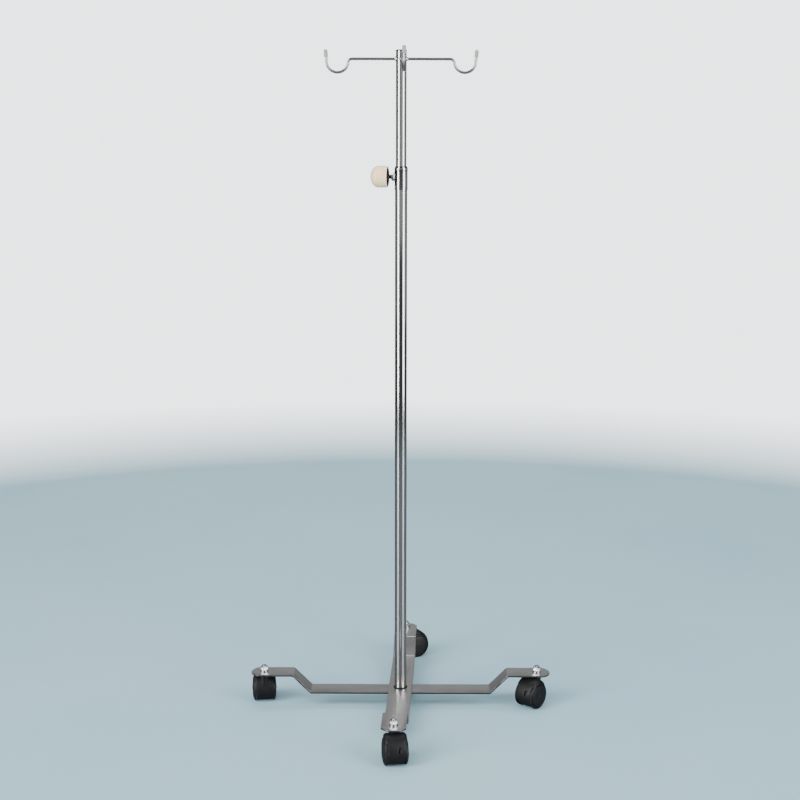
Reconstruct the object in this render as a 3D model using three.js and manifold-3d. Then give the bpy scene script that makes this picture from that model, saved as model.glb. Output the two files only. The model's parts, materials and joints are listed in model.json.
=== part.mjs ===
// Telescopic drip stand on four swivelling twin-wheel casters. Millimetres, +Z up.
// Origin: on the floor, under the pole's axis. +X runs along the side bar and -Y points to the front.
import * as THREE from 'three';
import { mergeVertices } from 'three/addons/utils/BufferGeometryUtils.js';
import Module from 'manifold-3d';

const wasm = await Module();
wasm.setup();

// ---------------------------------------------------------------- driving dimensions

// Cross base: two joggled flat bars, the front bar lying over the side bar
const BAR_WIDTH = 44;
const BAR_THICK = 3;
const BAR_REACH = 282.4; // pole axis to the tip of each rounded end
const BAR_END_RADIUS = 25;
const BAR_BEND_RADIUS = 5; // at the middle of the thickness
const BAR_HIGH_CORNER = 202.4; // where the 45 degree rise meets the raised end
const PLATE_UNDER_Z = 60; // underside of all four raised ends
const SIDE_BAR_LOW_Z = 26.5; // underside of each bar's low middle stretch
const FRONT_BAR_LOW_Z = SIDE_BAR_LOW_Z + BAR_THICK;
const FRONT_BAR_PLACE = 267.7; // degrees about +Z: the bars meet a little off square
const STEM_REACH = 258; // pole axis to each caster's stem
const HOLE_R = 4.3; // clearance hole for an M8 thread

// M8 fasteners
const M8_R = 4;
const M8_NUT_FLATS = 13;
const M8_NUT_H = 6.5;
const M8_HEAD_H = 5.3;
const WASHER_R = 8;
const WASHER_H = 1.5;
const SPRING_WASHER_R = 7;
const SPRING_WASHER_H = 2;
const THREAD_GAP = 0.2; // radial gap that stands in for a thread

// Casters, in their own frame: axle along Y at the origin's height, stem on +X, trailing side on -X
const WHEEL_R = 25;
const WHEEL_INNER_Y = 15.9;
const TRAIL = 18; // stem axis to axle axis
const AXLE_R = 3;
const AXLE_HALF = 20;
const HOOD_HALF = 15.5;
const HOOD_WALL = 2.2;
const HOOD_TOP_Z = 56.5;
const HOOD_BACK_X = 3.5; // centres of the two arcs that cross at the hood's crown
const HOOD_FRONT_X = -2.5;
const FENDER_HALF = 20.6;
const FENDER_LOW_Z = 40.5;
const BOSS_R = 8.2;
const STEM_FLANGE_R = 7.5;
const STEM_FLANGE_H = 1.6;
const STEM_TIP_Z = 34;
const CASTERS = [
  { side: 'left', place: 180, trails: 96.8 },
  { side: 'front', place: FRONT_BAR_PLACE, trails: 278 },
  { side: 'right', place: 0, trails: 229 },
  { side: 'back', place: FRONT_BAR_PLACE - 180, trails: 28 },
]; // degrees about +Z: where each stem stands, and which way its wheels trail

// Pole
const GASKET_R = 13;
const GASKET_H = 1;
const LOWER_R = 11;
const LOWER_BORE_R = 9.8;
const LOWER_TOP_Z = 1006;
const UPPER_R = 9.5;
const UPPER_BORE_R = 8.5;
const UPPER_LENGTH = 949.7;
const UPPER_TOP_Z = 1209.7;
const SLIDE_GAP = 0.2;

// Clamp at the top of the lower tube
const COLLAR_BASE_Z = 967.7;
const COLLAR_TOP_Z = 1009.1;
const COLLAR_R = 12;
const CLAMP_Z = 990.4;
const CLAMP_TURN = 172; // degrees about +Z: the way the knob points
const KNOB_BACK = 23.9; // pole axis to the knob's back rim
const KNOB_LENGTH = 31.2;
const KNOB_R = 19.2;
const KNOB_DOME = 14.5; // length of the rounded front
const KNOB_WALL = 2.4;

// Hooks: 5 mm rod, each bent to an open U at the end of its arm
const HOOK_TURN = 2.3; // degrees about +Z: the upper tube's turn on the base
const ROD_R = 2.5;
const ROD_Z = 1195.5;
const HOOK_U_R = 19;
const HOOK_U_REACH = 112.4; // pole axis to the U's centre
const HOOK_U_DROP = 4.4; // rod centre line down to the U's centre
const HOOK_BEND_R = 7;
const HOOK_TIP_LEAN = 5; // degrees outwards
const HOOK_TIP_Z = 1211.8;
const TIP_CAP_R = 3.5;
const TIP_CAP_LENGTH = 13;
const TIP_CAP_END = 1.2; // cap wall beyond the rod's end
const HOOKS = [
  { side: 'right', turn: 0 },
  { side: 'back', turn: 90 },
  { side: 'left', turn: 180 },
  { side: 'front', turn: 270 },
];

// ---------------------------------------------------------------- materials

function material(color, roughness, metalness) {
  return new THREE.MeshStandardMaterial({ color, roughness, metalness });
}

const satinSteel = material(0x8f8e8c, 0.42, 0.9);
const polishedSteel = material(0xc9cacc, 0.14, 1);
const zincPlate = material(0xd4d6d8, 0.25, 1);
const blackPlastic = material(0x232426, 0.5, 0);
const wheelPlastic = material(0x1d1e20, 0.42, 0);
const blackRubber = material(0x18181a, 0.8, 0);
const creamPlastic = material(0xe9dccb, 0.35, 0);
const brass = material(0xb08d4a, 0.35, 1);
const whiteNylon = material(0xe6e4dc, 0.5, 0);
const clearVinyl = material(0xc4c6c6, 0.3, 0);

// ---------------------------------------------------------------- shape helpers

const rad = THREE.MathUtils.degToRad;
const point = (x, y) => new THREE.Vector2(x, y);

function toSolid(geometry) {
  const bare = geometry.clone();
  bare.deleteAttribute('normal');
  bare.deleteAttribute('uv');
  const merged = mergeVertices(bare, 1e-3);
  const corners = merged.index.array;
  const kept = [];
  for (let i = 0; i < corners.length; i += 3) {
    const [a, b, c] = corners.slice(i, i + 3);
    if (a !== b && b !== c && c !== a) {
      kept.push(a, b, c);
    }
  }
  const vertProperties = new Float32Array(merged.attributes.position.array);
  const triVerts = new Uint32Array(kept);
  return new wasm.Manifold(new wasm.Mesh({ numProp: 3, vertProperties, triVerts }));
}

function toGeometry(solid) {
  const mesh = solid.getMesh();
  const geometry = new THREE.BufferGeometry();
  geometry.setAttribute('position', new THREE.BufferAttribute(mesh.vertProperties, 3));
  geometry.setIndex(new THREE.BufferAttribute(mesh.triVerts, 1));
  return geometry;
}

function cut(geometry, ...tools) {
  return toGeometry(tools.reduce((solid, tool) => solid.subtract(toSolid(tool)), toSolid(geometry)));
}

function join(geometry, ...others) {
  return toGeometry(others.reduce((solid, other) => solid.add(toSolid(other)), toSolid(geometry)));
}

function common(geometry, other) {
  return toGeometry(toSolid(geometry).intersect(toSolid(other)));
}

// A closed outline of [radius, height] points turned about the Z axis
function turned(outline, segments) {
  const points = outline.map(([r, z]) => point(r, z));
  if (THREE.ShapeUtils.area(points) < 0) {
    points.reverse();
  }
  if (outline[0][0] > 0) {
    points.push(points[0].clone());
  } else {
    const start = points.findIndex((p, i) => p.x === 0 && points[(i + 1) % points.length].x > 0);
    points.push(...points.splice(0, start));
  }
  return new THREE.LatheGeometry(points, segments).rotateX(Math.PI / 2);
}

// A disc or bar on the Z axis from z0 to z1
function rod(radius, z0, z1, segments) {
  return turned([[0, z0], [radius, z0], [radius, z1], [0, z1]], segments);
}

function ring(inner, outer, z0, z1, segments) {
  return turned([[inner, z0], [outer, z0], [outer, z1], [inner, z1]], segments);
}

// A flat outline in X and Y, raised from z0 to z1
function raised(shape, z0, z1, curveSegments = 12) {
  const settings = { depth: z1 - z0, bevelEnabled: false, curveSegments };
  return new THREE.ExtrudeGeometry(shape, settings).translate(0, 0, z0);
}

// A side outline in X and Z, carried along Y from -half to +half
function carried(shape, half, curveSegments = 12) {
  return raised(shape, -half, half, curveSegments).rotateX(Math.PI / 2);
}

function hexagon(flats) {
  const corner = flats / Math.sqrt(3);
  const corners = [0, 1, 2, 3, 4, 5].map((i) => i * Math.PI / 3);
  return new THREE.Shape(corners.map((a) => point(corner * Math.cos(a), corner * Math.sin(a))));
}

function box(x0, x1, y0, y1, z0, z1) {
  const geometry = new THREE.BoxGeometry(x1 - x0, y1 - y0, z1 - z0);
  return geometry.translate((x0 + x1) / 2, (y0 + y1) / 2, (z0 + z1) / 2);
}

const alongX = (geometry) => geometry.rotateY(Math.PI / 2);
const alongY = (geometry) => geometry.rotateX(-Math.PI / 2);

const stand = new THREE.Group();

function add(parent, name, geometry, look) {
  const mesh = new THREE.Mesh(geometry, look);
  mesh.name = name;
  parent.add(mesh);
}

// ---------------------------------------------------------------- cross base

// One edge of a bar from its middle to its end, joggled up at 45 degrees
function barEdge(lowZ, offset) {
  const low = lowZ + BAR_THICK / 2;
  const high = PLATE_UNDER_Z + BAR_THICK / 2;
  const tangent = BAR_BEND_RADIUS * Math.tan(rad(22.5));
  const lowX = BAR_HIGH_CORNER - (high - low) - tangent;
  const highX = BAR_HIGH_CORNER + tangent;
  const edge = new THREE.Path();
  edge.moveTo(0, low + offset);
  edge.lineTo(lowX, low + offset);
  edge.absarc(lowX, low + BAR_BEND_RADIUS, BAR_BEND_RADIUS - offset, rad(-90), rad(-45), false);
  edge.absarc(highX, high - BAR_BEND_RADIUS, BAR_BEND_RADIUS + offset, rad(135), rad(90), true);
  edge.lineTo(BAR_REACH + 1, high + offset);
  return edge.getPoints(2);
}

function barPlan() {
  const half = BAR_WIDTH / 2;
  const spread = Math.asin(half / BAR_END_RADIUS);
  const centre = BAR_REACH - BAR_END_RADIUS;
  const plan = new THREE.Shape();
  plan.absarc(centre, 0, BAR_END_RADIUS, -spread, spread, false);
  plan.absarc(-centre, 0, BAR_END_RADIUS, Math.PI - spread, Math.PI + spread, false);
  return plan;
}

function crossBar(lowZ) {
  const under = barEdge(lowZ, -BAR_THICK / 2);
  const over = barEdge(lowZ, BAR_THICK / 2);
  const mirror = (points) => points.slice(1).map((p) => point(-p.x, p.y));
  const outline = [...mirror(under).reverse(), ...under, ...over.reverse(), ...mirror(over.reverse())];
  const joggled = carried(new THREE.Shape(outline), BAR_WIDTH);
  const bar = common(joggled, raised(barPlan(), 0, 2 * PLATE_UNDER_Z, 6));
  const holes = [-STEM_REACH, 0, STEM_REACH].map((x) => rod(HOLE_R, 0, 100, 20).translate(x, 0, 0));
  return cut(bar, ...holes);
}

add(stand, 'side_cross_bar', crossBar(SIDE_BAR_LOW_Z), satinSteel);
add(stand, 'front_cross_bar', crossBar(FRONT_BAR_LOW_Z).rotateZ(rad(FRONT_BAR_PLACE)), satinSteel);

const POLE_FOOT_Z = FRONT_BAR_LOW_Z + BAR_THICK + GASKET_H;
const PLUG_TOP_Z = POLE_FOOT_Z + 23;
const PLUG_BORE_Z = PLUG_TOP_Z - 4;

add(stand, 'pole_foot_gasket', ring(HOLE_R, GASKET_R, POLE_FOOT_Z - GASKET_H, POLE_FOOT_Z, 32), blackRubber);

const footPlug = turned([
  [0, PLUG_TOP_Z],
  [0, PLUG_BORE_Z],
  [M8_R + THREAD_GAP, PLUG_BORE_Z],
  [M8_R + THREAD_GAP, POLE_FOOT_Z],
  [LOWER_BORE_R - SLIDE_GAP, POLE_FOOT_Z],
  [LOWER_BORE_R - SLIDE_GAP, PLUG_TOP_Z],
], 32);
add(stand, 'pole_foot_plug', footPlug, satinSteel);

const headTop = SIDE_BAR_LOW_Z - WASHER_H;
add(stand, 'base_bolt_washer', ring(HOLE_R, WASHER_R, headTop, SIDE_BAR_LOW_Z, 24), zincPlate);

const boltHead = raised(hexagon(M8_NUT_FLATS), headTop - M8_HEAD_H, headTop);
const boltShank = rod(M8_R, headTop - 1, PLUG_BORE_Z - 3, 20);
add(stand, 'base_bolt', join(boltHead, boltShank), zincPlate);

// ---------------------------------------------------------------- lower tube and clamp

// The screw's way in, through the collar and the lower tube's wall
const screwWay = () => alongX(rod(HOLE_R, 0, 30, 20)).translate(0, 0, CLAMP_Z).rotateZ(rad(CLAMP_TURN));

const lowerTube = ring(LOWER_BORE_R, LOWER_R, POLE_FOOT_Z, LOWER_TOP_Z, 40);
add(stand, 'lower_tube', cut(lowerTube, screwWay()), polishedSteel);

const collar = turned([
  [LOWER_R + SLIDE_GAP, COLLAR_BASE_Z],
  [COLLAR_R - 0.4, COLLAR_BASE_Z],
  [COLLAR_R, COLLAR_BASE_Z + 0.6],
  [COLLAR_R, COLLAR_TOP_Z - 4],
  [COLLAR_R - 0.4, COLLAR_TOP_Z - 2],
  [COLLAR_R - 1.1, COLLAR_TOP_Z - 0.7],
  [COLLAR_R - 2, COLLAR_TOP_Z],
  [LOWER_BORE_R, COLLAR_TOP_Z],
  [LOWER_BORE_R, LOWER_TOP_Z + 0.3],
  [LOWER_R + SLIDE_GAP, LOWER_TOP_Z + 0.3],
], 32);
add(stand, 'clamp_collar', cut(collar, screwWay()), polishedSteel);

// The clamp's own frame: +X along the screw, out from the pole's axis
const clamp = new THREE.Group();
clamp.position.z = CLAMP_Z;
clamp.rotation.z = rad(CLAMP_TURN);
stand.add(clamp);

const NUT_FACE = COLLAR_R + M8_HEAD_H;
const nutBlank = alongX(raised(hexagon(M8_NUT_FLATS), COLLAR_R - 2, NUT_FACE));
const nutThread = alongX(rod(M8_R + THREAD_GAP, 0, 30, 20));
const saddle = rod(COLLAR_R + 0.3, -20, 20, 48);
add(clamp, 'clamp_nut', cut(nutBlank, nutThread, saddle), polishedSteel);

const PAD_TIP = UPPER_R + 0.3;
const PAD_LENGTH = 1.8;
const SCREW_TIP = PAD_TIP + PAD_LENGTH + 0.3;
const CORE_BACK = KNOB_BACK + 1.2;
const CORE_FRONT = KNOB_BACK + 17;
add(clamp, 'clamp_pad', alongX(rod(M8_R - 0.4, PAD_TIP, PAD_TIP + PAD_LENGTH, 16)), brass);
add(clamp, 'clamp_screw', alongX(rod(M8_R, SCREW_TIP, CORE_FRONT - 2, 20)), zincPlate);

// The knob's outer or inner skin, from the back rim to the crown of the dome
function knobSkin(inset, back) {
  const radius = KNOB_R - inset;
  const domeBase = KNOB_BACK + KNOB_LENGTH - KNOB_DOME;
  const skin = [[radius - 1, back], [radius - 0.3, back + 3], [radius, back + 8]];
  for (let i = 0; i <= 5; i += 1) {
    const angle = i * Math.PI / 10;
    skin.push([radius * Math.cos(angle), domeBase + (KNOB_DOME - inset) * Math.sin(angle)]);
  }
  skin[skin.length - 1][0] = 0;
  return skin;
}

const knobCap = turned([...knobSkin(0, KNOB_BACK), ...knobSkin(KNOB_WALL, KNOB_BACK).reverse()], 24);
add(clamp, 'knob_cap', alongX(knobCap), creamPlastic);

const coreR = KNOB_R - KNOB_WALL - 1.4;
const coreBore = M8_R + THREAD_GAP;
const knobCore = turned([
  [coreBore, CORE_BACK],
  [coreBore + 3, CORE_BACK],
  [coreBore + 3, CORE_BACK + 5],
  [coreR - 2, CORE_BACK + 5],
  [coreR - 2, CORE_BACK],
  [coreR, CORE_BACK],
  [coreR, CORE_FRONT],
  [0, CORE_FRONT],
  [0, CORE_FRONT - 1.5],
  [coreBore, CORE_FRONT - 1.5],
], 24);
add(clamp, 'knob_core', alongX(knobCore), blackPlastic);

// ---------------------------------------------------------------- upper tube

const mast = new THREE.Group();
mast.rotation.z = rad(HOOK_TURN);
stand.add(mast);

const UPPER_BASE_Z = UPPER_TOP_Z - UPPER_LENGTH;
add(mast, 'upper_tube', ring(UPPER_BORE_R, UPPER_R, UPPER_BASE_Z, UPPER_TOP_Z, 40), polishedSteel);

const guideBush = turned([
  [5, UPPER_BASE_Z - 20],
  [LOWER_BORE_R - SLIDE_GAP - 1, UPPER_BASE_Z - 20],
  [LOWER_BORE_R - SLIDE_GAP, UPPER_BASE_Z - 19],
  [LOWER_BORE_R - SLIDE_GAP, UPPER_BASE_Z - 0.3],
  [UPPER_BORE_R - SLIDE_GAP, UPPER_BASE_Z - 0.3],
  [UPPER_BORE_R - SLIDE_GAP, UPPER_BASE_Z + 24],
  [5, UPPER_BASE_Z + 24],
], 24);
add(stand, 'guide_bush', guideBush, whiteNylon);

const topPlug = turned([
  [0, UPPER_TOP_Z - 12],
  [UPPER_BORE_R - SLIDE_GAP, UPPER_TOP_Z - 12],
  [UPPER_BORE_R - SLIDE_GAP, UPPER_TOP_Z],
  [UPPER_R + 0.5, UPPER_TOP_Z],
  [UPPER_R + 0.5, UPPER_TOP_Z + 1.2],
  [UPPER_R - 0.3, UPPER_TOP_Z + 2],
  [0, UPPER_TOP_Z + 2],
], 28);
add(mast, 'top_plug', topPlug, blackPlastic);

// ---------------------------------------------------------------- hooks

// A rod's centre line in X and Z, with the steps that each stretch is given
class RodLine extends THREE.Curve {
  constructor(stretches) {
    super();
    this.stretches = stretches;
    this.steps = stretches.reduce((sum, stretch) => sum + stretch.steps, 0);
  }

  // Steps are spread by stretch, not by length
  getUtoTmapping(u) {
    return u;
  }

  locate(t) {
    let left = t * this.steps;
    for (const { curve, steps } of this.stretches) {
      if (left <= steps + 1e-9) {
        return [curve, Math.min(left / steps, 1)];
      }
      left -= steps;
    }
    return [this.stretches.at(-1).curve, 1];
  }

  getPoint(t) {
    const [curve, along] = this.locate(t);
    const { x, y } = curve.getPoint(along);
    return new THREE.Vector3(x, 0, y);
  }

  getTangent(t) {
    const [curve, along] = this.locate(t);
    const { x, y } = curve.getTangent(along);
    return new THREE.Vector3(x, 0, y);
  }
}

const bottomZ = ROD_Z - HOOK_U_DROP;
const bendZ = ROD_Z - HOOK_BEND_R;
const bendX = HOOK_U_REACH - Math.sqrt((HOOK_BEND_R + HOOK_U_R) ** 2 - (bottomZ - bendZ) ** 2);
const meet = Math.atan2(bottomZ - bendZ, HOOK_U_REACH - bendX);
const lean = rad(HOOK_TIP_LEAN);
const rise = point(HOOK_U_REACH + HOOK_U_R * Math.cos(lean), bottomZ - HOOK_U_R * Math.sin(lean));
const tipLength = (HOOK_TIP_Z - rise.y) / Math.cos(lean);
const tip = point(rise.x + tipLength * Math.sin(lean), HOOK_TIP_Z);

function hookRod() {
  const start = point(UPPER_R + 0.3, ROD_Z);
  const end = tip.clone().lerp(rise, TIP_CAP_END / tipLength);
  const line = new RodLine([
    { curve: new THREE.LineCurve(start, point(bendX, ROD_Z)), steps: 1 },
    { curve: new THREE.EllipseCurve(bendX, bendZ, HOOK_BEND_R, HOOK_BEND_R, Math.PI / 2, meet, true), steps: 4 },
    { curve: new THREE.EllipseCurve(HOOK_U_REACH, bottomZ, HOOK_U_R, HOOK_U_R, Math.PI + meet, 2 * Math.PI - lean, false), steps: 10 },
    { curve: new THREE.LineCurve(rise, end), steps: 1 },
  ]);
  const section = new THREE.Shape(
    Array.from({ length: 12 }, (_, i) => point(ROD_R * Math.cos(i * Math.PI / 6), ROD_R * Math.sin(i * Math.PI / 6))),
  );
  const settings = { steps: line.steps, extrudePath: line, bevelEnabled: false };
  return new THREE.ExtrudeGeometry(section, settings);
}

// A soft cap over the rod's end, open at the bottom
function tipCap() {
  const bore = ROD_R + 0.3;
  const cap = turned([
    [bore, -TIP_CAP_LENGTH],
    [TIP_CAP_R, -TIP_CAP_LENGTH],
    [TIP_CAP_R, -1.2],
    [TIP_CAP_R - 1.2, 0],
    [0, 0],
    [0, -TIP_CAP_END + 0.2],
    [bore, -TIP_CAP_END + 0.2],
  ], 12);
  return cap.rotateY(lean).translate(tip.x, 0, tip.y);
}

for (const { side, turn } of HOOKS) {
  const arm = new THREE.Group();
  arm.rotation.z = rad(turn);
  mast.add(arm);
  add(arm, `${side}_hook`, hookRod(), polishedSteel);
  add(arm, `${side}_hook_tip`, tipCap(), clearVinyl);
}

// ---------------------------------------------------------------- casters

const stemX = TRAIL;

// The hood's side outline, grown inwards by inset: an arch over the wheels, open at the foot
function hoodOutline(inset) {
  const archZ = 27;
  const archR = HOOD_TOP_Z - archZ - inset;
  const crown = Math.acos((HOOD_BACK_X - HOOD_FRONT_X) / 2 / archR);
  const outline = new THREE.Shape();
  outline.absarc(HOOD_BACK_X, archZ, archR, Math.PI - crown, rad(190), false);
  outline.absarc(0, WHEEL_R, WHEEL_R - 1.5 - inset, rad(212), rad(332), false);
  outline.absarc(HOOD_FRONT_X, archZ, archR, rad(-10), crown, false);
  return outline;
}

// Part of a fender, from one width to another: the arch's wall carried outwards above the tread
function fenderStep(inset, from, to) {
  const arch = raised(hoodOutline(inset), from, to, 4).rotateX(Math.PI / 2);
  const under = raised(hoodOutline(HOOD_WALL), from - 1, to + 1, 4).rotateX(Math.PI / 2);
  return cut(arch, under, box(-40, 40, -30, 30, -5, FENDER_LOW_Z));
}

function casterHood() {
  const block = carried(hoodOutline(0), HOOD_HALF, 4);
  const web = 2.5;
  const hollow = raised(hoodOutline(HOOD_WALL), web, HOOD_HALF + 5, 4);
  const nearHollow = hollow.clone().rotateX(Math.PI / 2);
  const farHollow = hollow.clone().rotateX(Math.PI / 2).translate(0, HOOD_HALF + 5 + web, 0);
  const shell = cut(block, nearHollow, farHollow, box(-30, 30, -20, 20, -1, 3.5));
  const boss = rod(BOSS_R, 33, HOOD_TOP_Z, 16).translate(stemX, 0, 0);
  const hub = alongY(rod(5.5, -8.5, 8.5, 16)).translate(0, 0, WHEEL_R);
  const inner = [HOOD_HALF - 0.5, FENDER_HALF - 2];
  const outer = [FENDER_HALF - 2.4, FENDER_HALF];
  const fenders = [
    fenderStep(0.4, inner[0], inner[1]),
    fenderStep(1.2, outer[0], outer[1]),
    fenderStep(0.4, -inner[1], -inner[0]),
    fenderStep(1.2, -outer[1], -outer[0]),
  ];
  const axleBore = alongY(rod(AXLE_R + 0.15, -20, 20, 16)).translate(0, 0, WHEEL_R);
  const stemBore = rod(M8_R + 0.2, STEM_TIP_Z - 1.5, 70, 16).translate(stemX, 0, 0);
  const backSlot = box(-29, -24.2, -6.5, -3, 28.5, 35);
  const solid = join(shell, boss, hub, ...fenders);
  return cut(solid, axleBore, stemBore, backSlot);
}

// The wheel on the +Y side: a dished disc with a rounded rim and a hub reaching in over the axle
function casterWheel() {
  const hubBore = AXLE_R + 0.2;
  const wheel = turned([
    [0, 23.5],
    [3, 23.5],
    [3.8, 22.5],
    [17.5, 21],
    [18.5, 21.8],
    [23.5, 19.6],
    [WHEEL_R, 17],
    [WHEEL_R, WHEEL_INNER_Y],
    [21, WHEEL_INNER_Y],
    [20, 18.8],
    [5.5, 19.4],
    [5.5, 9],
    [hubBore, 9],
    [hubBore, AXLE_HALF + 0.4],
    [0, AXLE_HALF + 0.4],
  ], 20);
  return alongY(wheel).translate(0, 0, WHEEL_R);
}

// The threaded stem: a pin down in the hood, a flange under the plate and a stud up through it
function casterStem() {
  const flangeUnder = PLATE_UNDER_Z - STEM_FLANGE_H;
  const studTop = PLATE_UNDER_Z + BAR_THICK + WASHER_H + SPRING_WASHER_H + M8_NUT_H + 3;
  return turned([
    [0, STEM_TIP_Z],
    [M8_R - 0.8, STEM_TIP_Z],
    [M8_R, STEM_TIP_Z + 0.8],
    [M8_R, flangeUnder],
    [STEM_FLANGE_R, flangeUnder],
    [STEM_FLANGE_R, PLATE_UNDER_Z],
    [M8_R, PLATE_UNDER_Z],
    [M8_R, studTop - 0.8],
    [M8_R - 0.8, studTop],
    [0, studTop],
  ], 14);
}

for (const { side, place, trails } of CASTERS) {
  const seat = new THREE.Group();
  seat.position.set(STEM_REACH * Math.cos(rad(place)), STEM_REACH * Math.sin(rad(place)), 0);
  stand.add(seat);

  const plateTop = PLATE_UNDER_Z + BAR_THICK;
  const springTop = plateTop + WASHER_H + SPRING_WASHER_H;
  const nut = cut(raised(hexagon(M8_NUT_FLATS), springTop, springTop + M8_NUT_H), rod(M8_R + THREAD_GAP, 0, 100, 16));
  add(seat, `${side}_caster_stem`, casterStem(), zincPlate);
  add(seat, `${side}_caster_washer`, ring(HOLE_R, WASHER_R, plateTop, plateTop + WASHER_H, 16), zincPlate);
  add(seat, `${side}_spring_washer`, ring(HOLE_R, SPRING_WASHER_R, plateTop + WASHER_H, springTop, 14), zincPlate);
  add(seat, `${side}_caster_nut`, nut, zincPlate);

  const swivel = new THREE.Group();
  swivel.rotation.z = rad(trails) - Math.PI;
  seat.add(swivel);
  const running = new THREE.Group();
  running.position.x = -stemX;
  swivel.add(running);
  const axle = alongY(rod(AXLE_R, -AXLE_HALF, AXLE_HALF, 12)).translate(0, 0, WHEEL_R);
  add(running, `${side}_caster_hood`, casterHood(), blackPlastic);
  add(running, `${side}_caster_axle`, axle, zincPlate);
  add(running, `${side}_wheel_a`, casterWheel(), wheelPlastic);
  add(running, `${side}_wheel_b`, casterWheel().rotateZ(Math.PI), wheelPlastic);
}

export default stand;
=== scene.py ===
import json
import math

import bmesh
import bpy
import numpy as np
from mathutils import Matrix, Vector


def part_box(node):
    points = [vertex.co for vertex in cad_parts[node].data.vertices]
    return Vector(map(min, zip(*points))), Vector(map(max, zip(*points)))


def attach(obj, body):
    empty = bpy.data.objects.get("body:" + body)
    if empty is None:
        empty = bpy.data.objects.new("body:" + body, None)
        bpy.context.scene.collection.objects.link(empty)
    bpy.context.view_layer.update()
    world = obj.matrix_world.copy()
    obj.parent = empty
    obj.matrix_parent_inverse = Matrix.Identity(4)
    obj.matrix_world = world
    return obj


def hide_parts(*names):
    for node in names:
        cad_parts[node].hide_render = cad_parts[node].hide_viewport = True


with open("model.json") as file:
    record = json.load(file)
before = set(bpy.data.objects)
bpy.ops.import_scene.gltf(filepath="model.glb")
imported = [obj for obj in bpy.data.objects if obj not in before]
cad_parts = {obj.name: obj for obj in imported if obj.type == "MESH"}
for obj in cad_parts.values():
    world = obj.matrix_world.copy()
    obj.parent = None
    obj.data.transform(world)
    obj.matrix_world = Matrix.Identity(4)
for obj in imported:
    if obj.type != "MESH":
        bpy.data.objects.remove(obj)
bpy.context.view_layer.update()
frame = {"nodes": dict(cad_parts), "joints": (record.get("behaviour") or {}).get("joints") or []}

MM = 0.001
SIDES = ("left", "front", "right", "back")
HOOKS = {"right": 0, "back": 90, "left": 180, "front": 270}  # degrees round the pole
nodes = frame["nodes"]
joints = {j["name"]: j for j in frame["joints"]}


# ------------------------------------------------------------------ places, in millimetres

def node_box(node):
    low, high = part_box(node)
    return np.array(low) / MM, np.array(high) / MM


def heights(node):
    low, high = node_box(node)
    return low[2], high[2]


def joint_place(name):
    return np.array(joints[name]["pos_m"]) / MM


LOWER_R, LOWER_BORE = 11.0, 9.8
UPPER_R, UPPER_BORE = 9.5, 8.5
foot_z, lower_top = heights("lower_tube")
upper_base, upper_top = heights("upper_tube")
collar_base, collar_top = heights("clamp_collar")
clamp_axis = joints["knob_turn"]["axis"]
clamp_turn = math.atan2(clamp_axis[1], clamp_axis[0])
clamp_z = joint_place("knob_turn")[2]
tip_middle = sum(node_box("right_hook_tip")) / 2
hook_turn = math.atan2(tip_middle[1], tip_middle[0])

# M8 hardware, and the plates the caster studs go through
M8_R, M8_BORE, HOLE_R = 4, 4.2, 4.3
NUT_FLATS, NUT_HEIGHT = 13, 6.5
WASHER_R, WASHER_H, SPLIT_R, SPLIT_H = 8, 1.5, 7.0, 2.0
STUD_RISE, PLATE_H = 16, 3
plate_under = heights("left_caster_stem")[1] - STUD_RISE
plate_top = plate_under + PLATE_H


# ------------------------------------------------------------------ mesh helpers

def move(x=0.0, y=0.0, z=0.0):
    return Matrix.Translation((x, y, z))


def turn(angle, axis="Z"):
    return Matrix.Rotation(angle, 4, axis)


def placed(verts, matrix):
    v = np.asarray(verts, float)
    m = np.array(matrix)
    return v @ m[:3, :3].T + m[:3, 3]


def smooth_mesh(name, verts, faces, sharp=32):
    """A welded mesh from millimetres, smooth except where faces meet at over sharp degrees."""
    mesh = bpy.data.meshes.new(name)
    mesh.from_pydata((np.asarray(verts) * MM).tolist(), [], faces)
    bm = bmesh.new()
    bm.from_mesh(mesh)
    bmesh.ops.remove_doubles(bm, verts=bm.verts, dist=1e-7)
    bmesh.ops.dissolve_degenerate(bm, edges=bm.edges, dist=1e-7)
    bmesh.ops.recalc_face_normals(bm, faces=bm.faces)
    bm.to_mesh(mesh)
    bm.free()
    mesh.shade_smooth()
    mesh.set_sharp_from_angle(angle=math.radians(sharp))
    return mesh


def linked(name, data):
    obj = bpy.data.objects.new(name, data)
    bpy.context.scene.collection.objects.link(obj)
    return obj


def piece(name, mesh, body, material, replaced):
    """Show mesh on a body in place of the CAD nodes it replaces."""
    obj = linked(name, mesh)
    mesh.materials.clear()
    mesh.materials.append(material)
    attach(obj, body)
    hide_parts(*replaced)


def shaped(name, shape, body, material, replaced, place=None, sharp=32):
    """A piece from a (verts, faces) shape in millimetres, moved by place."""
    verts, faces = shape
    if place is not None:
        verts = placed(verts, place)
    piece(name, smooth_mesh(name, verts, faces, sharp), body, material, replaced)


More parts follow.
